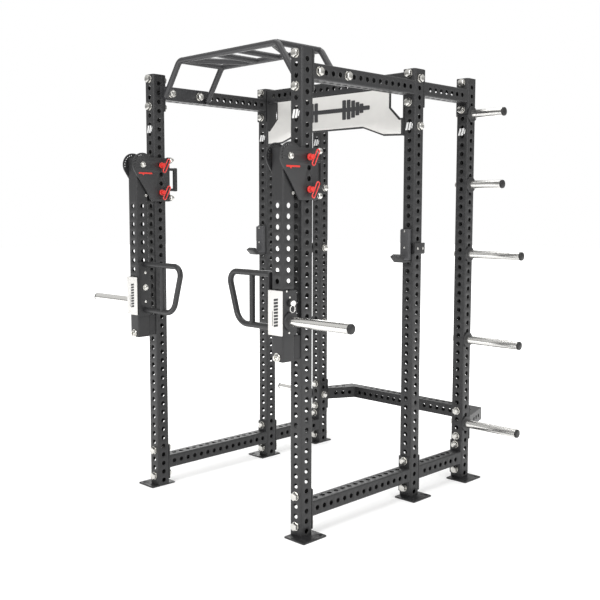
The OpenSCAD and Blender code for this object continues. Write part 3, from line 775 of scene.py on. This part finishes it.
def build_jcup(name, side):
    low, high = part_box(f"jcup_bracket_{name}")
    upright = centre(f"upright_middle_{name}")
    place = move(upright.x, upright.y, low.z) @ (ALONG_Z if side > 0 else MIRROR_X)
    face = 38
    shape = Shape()
    back = plate(rectangle(67 * MM, 182 * MM, 4 * MM), 6 * MM)
    shape.add(back, place @ at(3.5, -face - 3, 91) @ ALONG_Y)
    hook = mm((-face, 0), (-face, 12), (-104, 12), (-107, 14), (-125, 44), (-128, 45), (-150, 33),
              (-152, 30), (-120, 1), (-117, 0))
    shape.add(plate(hook, 60 * MM, edge=1.2 * MM), place @ ALONG_X)
    shape.add(plate(rectangle(98 * MM, 60 * MM, 6 * MM), 6 * MM), place @ at(43, 5, 73) @ ALONG_X)
    bridge = plate(rectangle(20 * MM, 60 * MM, 3 * MM), 6 * MM)
    shape.add(bridge, place @ at(36, -face - 3, 73) @ ALONG_Y)
    shape.add(disc(12 * MM, 36 * MM, 1.5 * MM), place @ at(0, -face - 1, 150) @ pointing((0, 1, 0)))
    shape.piece(f"jcup_hook_{name}", f"jcup_{name}", "bracket_coat", f"jcup_bracket_{name}")
    front = face + 6
    outline = mm((-front, 12), (-front, 178), (-front - 15, 178), (-front - 20, 176), (-front - 24, 170),
                 (-front - 24, 34), (-front - 26, 28), (-front - 32, 24), (-108, 24), (-104, 12))
    liner = Shape().add(plate(outline, 58 * MM, edge=1.5 * MM), place @ ALONG_X)
    liner.piece(f"jcup_pad_{name}", f"jcup_{name}", "liner", f"jcup_liner_{name}")
    studs = Shape()
    for height in (77, 165):
        studs.add(disc(5 * MM, 1.6 * MM), place @ at(0, -front - 24, height) @ pointing((0, -1, 0)))
    for dy in (-10, 35):
        studs.add(disc(7 * MM, 2 * MM), place @ at(46, dy, 73) @ pointing((1, 0, 0)))
    studs.piece(f"jcup_rivets_{name}", f"jcup_{name}", "zinc")


# ---------- carriages ----------

PIVOT_Y = -122.5
NOSE_R = 65
CARRIAGE_MID = 1758
LOCK_DZ = 75
PLATE_IN = 42
PLATE_OUT = 50


def carriage_outline():
    """Side plate in Y and height above the middle of the lock pins, counter-clockwise."""
    nose = (PIVOT_Y, LOCK_DZ)
    ear = 16
    outline = [(-64, -125), (50, -125)]
    outline += arc((68, -105), ear, -90, 90, 12)
    outline += [(58, -86), (58, 86)]
    outline += arc((68, 105), ear, -90, 90, 12)
    outline += [(44, 121), (40, 117), (-62, 117)]
    outline += arc(nose, NOSE_R, 61.5, 214.3, 40)
    return mm(*outline)


def build_carriage(name):
    x = centre(f"upright_front_{name}").x
    y = centre(f"upright_front_{name}").y
    place = move(x, y, CARRIAGE_MID * MM)
    holes = [(0, dz * MM, HOLE_R) for dz in (-75, -25, 25, 75)]
    for k in range(7):
        a = math.radians(100 + 15 * k)
        holes.append(((PIVOT_Y + 53 * math.cos(a)) * MM, (LOCK_DZ + 53 * math.sin(a)) * MM, 4 * MM))
    shape = Shape()
    for mid in (-1, 1):
        side_plate = plate(carriage_outline(), 8 * MM, holes, edge=0.9 * MM)
        shape.add(side_plate, place @ at(mid * (PLATE_IN + PLATE_OUT) / 2, 0, 0) @ ALONG_X)
    rear = plate(rectangle(2 * PLATE_IN * MM, 156 * MM, 3 * MM), 8 * MM)
    shape.add(rear, place @ at(0, 58, 0) @ ALONG_Y)
    for end in (-1, 1):
        shape.add(swept(mm((0, 60, end * 57.5), (0, 126, end * 57.5)), 8 * MM), place)
    grab = plate(rectangle(22 * MM, 133 * MM, 6 * MM), 18 * MM, edge=3 * MM)
    shape.add(grab, place @ at(0, 132, 0) @ ALONG_X)
    shape.piece(f"carriage_frame_{name}", "cage", "bracket_coat", f"carriage_{name}")


def build_carriage_bolts():
    shape = Shape()
    for low, high, _ in solids("carriage_bolts"):
        middle = (low + high) / 2
        place = Matrix.Translation(middle)
        shape.add(disc(12 * MM, 2 * PLATE_IN * MM), place @ at(-PLATE_IN, 0, 0) @ pointing((1, 0, 0)))
        for side in (-1, 1):
            seat = place @ at(side * PLATE_OUT, 0, 0) @ pointing((side, 0, 0))
            shape.add(disc(14.5 * MM, 2 * MM), seat)
            shape.add(hexagon(24 * MM, 10.8 * MM), seat)
    shape.piece("carriage_bolt_set", "cage", "zinc", "carriage_bolts")
    shape = Shape()
    for low, high, _ in solids("pivot_bolts"):
        middle = (low + high) / 2
        for side in (-1, 1):
            seat = Matrix.Translation(middle) @ at(side * PLATE_OUT, 0, 0) @ pointing((side, 0, 0))
            shape.add(disc(16 * MM, 3 * MM), seat)
            shape.add(hexagon(24 * MM, 11 * MM), seat)
        shape.add(disc(10 * MM, 2 * PLATE_OUT * MM), Matrix.Translation(middle) @ at(-PLATE_OUT, 0, 0)
                  @ pointing((1, 0, 0)))
    shape.piece("pivot_bolt_set", "cage", "zinc", "pivot_bolts")


def build_lock_pin(level, name):
    node = f"lock_pin_{level}_{name}"
    upright = centre(f"upright_front_{name}")
    z = (CARRIAGE_MID + (LOCK_DZ if level == "upper" else -LOCK_DZ)) * MM
    place = move(upright.x, upright.y, z)
    shape = Shape()
    knob = [(0, 23.5), (10, 23.5), (12, 25.5), (12, 51), (15, 51), (16, 52), (16, 58), (15, 59),
            (10.5, 60), (10.5, 63), (12.5, 65), (12.5, 76), (11, 79), (0, 79)]
    shape.add(turned(mm(*knob), 48), place @ pointing((1, 0, 0)))
    tilt = Matrix.Rotation(math.radians(-28), 4, "X")
    ends = arc((0, 32), 9, 0, 180, 12) + arc((0, -32), 9, 180, 360, 12)
    loop = [(0, y, z) for y, z in ends]
    shape.add(swept(mm(*loop), 3.2 * MM, 16, closed=True), place @ at(73.5, 20, -2) @ tilt)
    shape.piece(f"{node}_knob", f"lock_{level}_{name}", "red_pin", node)


# ---------- lever arms ----------

SLEEVE_HALF = 48
SLEEVE_Z = 1158
SLEEVE_TOP = 58
SLEEVE_LOW = -152
HORN_DZ = -86


def build_arm(name, side):
    body = f"arm_{name}"
    low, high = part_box(f"arm_tube_{name}")
    x, y = (low.x + high.x) / 2, (low.y + high.y) / 2
    upright_place = move(x, y, 0)
    place = upright_place @ at(0, 0, SLEEVE_Z) @ (ALONG_Z if side > 0 else MIRROR_X)
    holes = every(1058 * MM, 1608 * MM)
    pivot_bore = ((CARRIAGE_MID + LOCK_DZ) * MM, 22.2 * MM)
    Shape().add(square_tube(low.z, high.z, holes + [pivot_bore], holes), upright_place).piece(
        f"arm_tube_cut_{name}", body, "bracket_coat", f"arm_tube_{name}")

    low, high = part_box(f"arm_pad_{name}")
    pad = plate(rectangle(high.x - low.x, high.z - low.z, 7 * MM), high.y - low.y, edge=3 * MM)
    Shape().add(pad, Matrix.Translation((low + high) / 2) @ ALONG_Y).piece(
        f"arm_pad_block_{name}", body, "pad", f"arm_pad_{name}")

    metal = Shape()
    front = upright_place @ at(0, -37.5, 900) @ pointing((0, -1, 0))
    metal.add(disc(22 * MM, 4 * MM), front)
    end_nut = mm((0, 4), (17, 4), (17, 11), (15, 15), (12, 16), (9, 14), (8, 5), (0, 5))
    metal.add(turned(end_nut, 48), front)
    for end in (-1, 1):
        metal.add(disc(8 * MM, 8 * MM, 1 * MM), upright_place @ at(end * 37.5, 23, 1665)
                  @ pointing((end, 0, 0)))
    inner = place @ at(-SLEEVE_HALF - 8, 0, 0) @ pointing((-1, 0, 0))
    metal.add(disc(17 * MM, 3 * MM), inner)
    metal.add(hexagon(24 * MM, 10 * MM), inner)
    for dz in (82, -79):
        button = turned(mm((0, 0), (7.5, 0), (7.5, 3), (5, 5.5), (0, 6)), 32)
        metal.add(button, at(0, 0, dz) @ inner)
    for dy, dz in ((-23.5, 55), (-3.5, 26), (-7.5, -139)):
        metal.add(disc(5 * MM, 2 * MM), place @ at(SLEEVE_HALF, dy, dz) @ pointing((1, 0, 0)))
    metal.piece(f"arm_fasteners_{name}", body, "zinc", f"arm_hardware_{name}")

    sleeve = Shape()
    sleeve.add(square_tube(SLEEVE_LOW * MM, SLEEVE_TOP * MM, size=2 * SLEEVE_HALF * MM, wall=8 * MM,
                           corner=9 * MM), place)
    top = 128.5
    bottom = -124.5
    wing = rectangle(74 * MM, (top + 16 - SLEEVE_LOW) * MM, 5 * MM,
                     (-7 * MM, (top + SLEEVE_LOW + 6) / 2 * MM))
    sleeve.add(plate(wing, 8 * MM), place @ at(-SLEEVE_HALF - 4, 0, 0) @ ALONG_X)
    handle = rounded(mm((-SLEEVE_HALF - 7, 0, top), (-388, 0, top), (-309, 0, bottom),
                        (-SLEEVE_HALF - 7, 0, bottom)), [46 * MM, 80 * MM], 16)
    sleeve.add(swept(handle, 15 * MM, 32), place)
    sleeve.add(swept(mm((-213, 0, bottom), (-213, 0, top)), 14.5 * MM, 32), place)
    sleeve.add(ring(17 * MM, 12 * MM, 10 * MM), place @ at(SLEEVE_HALF, 0, 0) @ pointing((1, 0, 0)))
    base = turned(mm((0, 0), (43, 0), (44, 1), (44, 8), (43, 9.5), (30, 10), (0, 10)), 64)
    sleeve.add(base, place @ at(SLEEVE_HALF, 0, HORN_DZ) @ pointing((1, 0, 0)))
    sleeve.piece(f"arm_sleeve_frame_{name}", body, "bracket_coat", f"arm_sleeve_{name}")

    low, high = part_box(f"face_plate_{name}")
    middle = Matrix.Translation((low + high) / 2) @ FACING_FRONT
    Shape().add(plate(rectangle(high.x - low.x, high.z - low.z, 4 * MM), high.y - low.y), middle).piece(
        f"face_plate_sheet_{name}", body, "light_sheet", f"face_plate_{name}")
    marks = Shape()
    for k in range(9):
        bar = mm((-13, k * 15 - 66), (15, k * 15 - 61), (15, k * 15 - 50), (-13, k * 15 - 55))
        marks.add(plate(bar, 0.6 * MM, edge=0.15 * MM), middle @ at(4, 0, 1.7))
    marks.add(plate(mm((-20, -62), (-17, -62), (-17, 10), (-20, 4)), 0.6 * MM, edge=0.15 * MM),
              middle @ at(0, 0, 1.7))
    marks.piece(f"face_plate_marks_{name}", body, "dark_print")
    screws = Shape()
    for dx in (-38, 38):
        for dz in (-96, 96):
            screw = turned(mm((0, 0), (4, 0), (4, 1), (3, 1.8), (0, 1.8)), 24)
            screws.add(screw, middle @ at(dx, dz, 1.5))
    screws.piece(f"face_plate_screws_{name}", body, "zinc")

    low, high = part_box(f"weight_horn_{name}")
    Shape().add(rod(low, high), outward(low, high)).piece(
        f"weight_horn_rod_{name}", body, "chrome", f"weight_horn_{name}")
    low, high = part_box(f"horn_cap_{name}")
    Shape().add(cap(), outward(low, high, CAP_HEIGHT)).piece(
        f"horn_cap_dome_{name}", body, "black_cap", f"horn_cap_{name}")

    pin = Shape()
    knob = [(0, 22.5), (10, 22.5), (11.9, 24.5), (11.9, 58.5), (13, 58.5), (14, 59.5), (14, 70.5),
            (12.5, 72.5), (0, 72.5)]
    pin.add(turned(mm(*knob), 48), place @ pointing((1, 0, 0)))
    hoop = [(0, y, z) for y, z in arc((0, 0), 16, 0, 350, 35)]
    pin.add(swept(mm(*hoop), 2 * MM, 16, closed=True), place @ at(63.5, 0, -27))
    pin.piece(f"sleeve_pin_knob_{name}", f"sleeve_pull_{name}", "chrome", f"sleeve_pin_{name}")


build_uprights()
build_beams()
build_foot_plates()
build_crossmember()
build_banner()
build_pull_up_frame()
build_fasteners()
build_labels()
build_pegs()
build_carriage_bolts()
for name, side in SIDES.items():
    build_jcup(name, side)
    build_carriage(name)
    build_arm(name, side)
    for level in ("upper", "lower"):
        build_lock_pin(level, name)


# ---------- studio and camera ----------

# Emission strength of the floor's painted glow, near the object and far from it
NEAR_GLOW = 0.3
FAR_GLOW = 1.0


def floor_paint_and_painted_glow():
    """Matt white with a painted glow: its emission rises with distance from the object, so the floor
    fades into the white backdrop away from the object.
    """
    paint = bpy.data.materials.new("floor_paint_and_painted_glow")
    paint.use_nodes = True
    tree = paint.node_tree
    shader = tree.nodes["Principled BSDF"]
    shader.inputs["Base Color"].default_value = (0.75, 0.75, 0.75, 1)
    shader.inputs["Roughness"].default_value = 1.0
    shader.inputs["Specular IOR Level"].default_value = 0.0
    shader.inputs["Emission Color"].default_value = (1, 1, 1, 1)
    coords = tree.nodes.new("ShaderNodeTexCoord")
    distance = tree.nodes.new("ShaderNodeVectorMath")
    distance.operation = "LENGTH"
    link(tree, coords, "Object", distance, "Vector")
    # Painted glow: the floor emits light, weakest near the object and rising with distance from it
    glow = tree.nodes.new("ShaderNodeMapRange")
    glow.inputs["From Min"].default_value = 1.3
    glow.inputs["From Max"].default_value = 3.2
    glow.inputs["To Min"].default_value = NEAR_GLOW
    glow.inputs["To Max"].default_value = FAR_GLOW
    link(tree, distance, "Value", glow, "Value")
    link(tree, glow, "Result", shader, "Emission Strength")
    return paint


def backdrop():
    """White room that looks darker near the horizon in reflections, to give metal its bands."""
    world = bpy.data.worlds.new("studio")
    world.use_nodes = True
    tree = world.node_tree
    coords = tree.nodes.new("ShaderNodeTexCoord")
    split = tree.nodes.new("ShaderNodeSeparateXYZ")
    link(tree, coords, "Generated", split, "Vector")
    ramp = tree.nodes.new("ShaderNodeValToRGB")
    ramp.color_ramp.elements[0].position = 0.02
    ramp.color_ramp.elements[0].color = (0.2, 0.2, 0.2, 1)
    ramp.color_ramp.elements[1].position = 0.3
    ramp.color_ramp.elements[1].color = (0.74, 0.74, 0.73, 1)
    link(tree, split, "Z", ramp, "Fac")
    seen = tree.nodes.new("ShaderNodeLightPath")
    blend = tree.nodes.new("ShaderNodeMixRGB")
    blend.inputs["Color2"].default_value = (1, 1, 1, 1)
    link(tree, seen, "Is Camera Ray", blend, "Fac")
    link(tree, ramp, "Color", blend, "Color1")
    link(tree, blend, "Color", tree.nodes["Background"], "Color")
    return world


def build_studio():
    floor_mesh = bpy.data.meshes.new("floor")
    reach = 30
    corners = [(-reach, -reach, 0), (reach, -reach, 0), (reach, reach, 0), (-reach, reach, 0)]
    floor_mesh.from_pydata(corners, [], [(0, 1, 2, 3)])
    floor = bpy.data.objects.new("floor", floor_mesh)
    bpy.context.scene.collection.objects.link(floor)
    floor_mesh.materials.append(floor_paint_and_painted_glow())
    bpy.context.scene.world = backdrop()
    bpy.context.scene.view_settings.view_transform = "Standard"
    lamps = {"key": ((1.5, -6.5, 4.5), 3.5, 260), "fill": ((6.5, 0.5, 3.5), 3.0, 110),
             "top": ((0.0, 0.5, 6.5), 5.0, 170), "back": ((-5.0, 4.0, 4.0), 3.0, 110)}
    for name, (spot, size, power) in lamps.items():
        light = bpy.data.lights.new(name, "AREA")
        light.size = size
        light.energy = power
        lamp = bpy.data.objects.new(name, light)
        lamp.location = spot
        lamp.rotation_euler = (Vector((0, 0, 1.1)) - Vector(spot)).to_track_quat("-Z", "Y").to_euler()
        bpy.context.scene.collection.objects.link(lamp)


def build_camera():
    data = bpy.data.cameras.new("camera")
    data.sensor_width = 36
    data.lens = 52.6
    data.shift_x = 0.0036
    data.shift_y = -0.0119
    data.clip_end = 100
    camera = bpy.data.objects.new("camera", data)
    camera.location = (3.4946, -3.68475, 1.5878)
    camera.rotation_euler = (math.radians(90 - 5.413), math.radians(-0.082), math.radians(44.84))
    bpy.context.scene.collection.objects.link(camera)
    bpy.context.scene.camera = camera


build_studio()
build_camera()
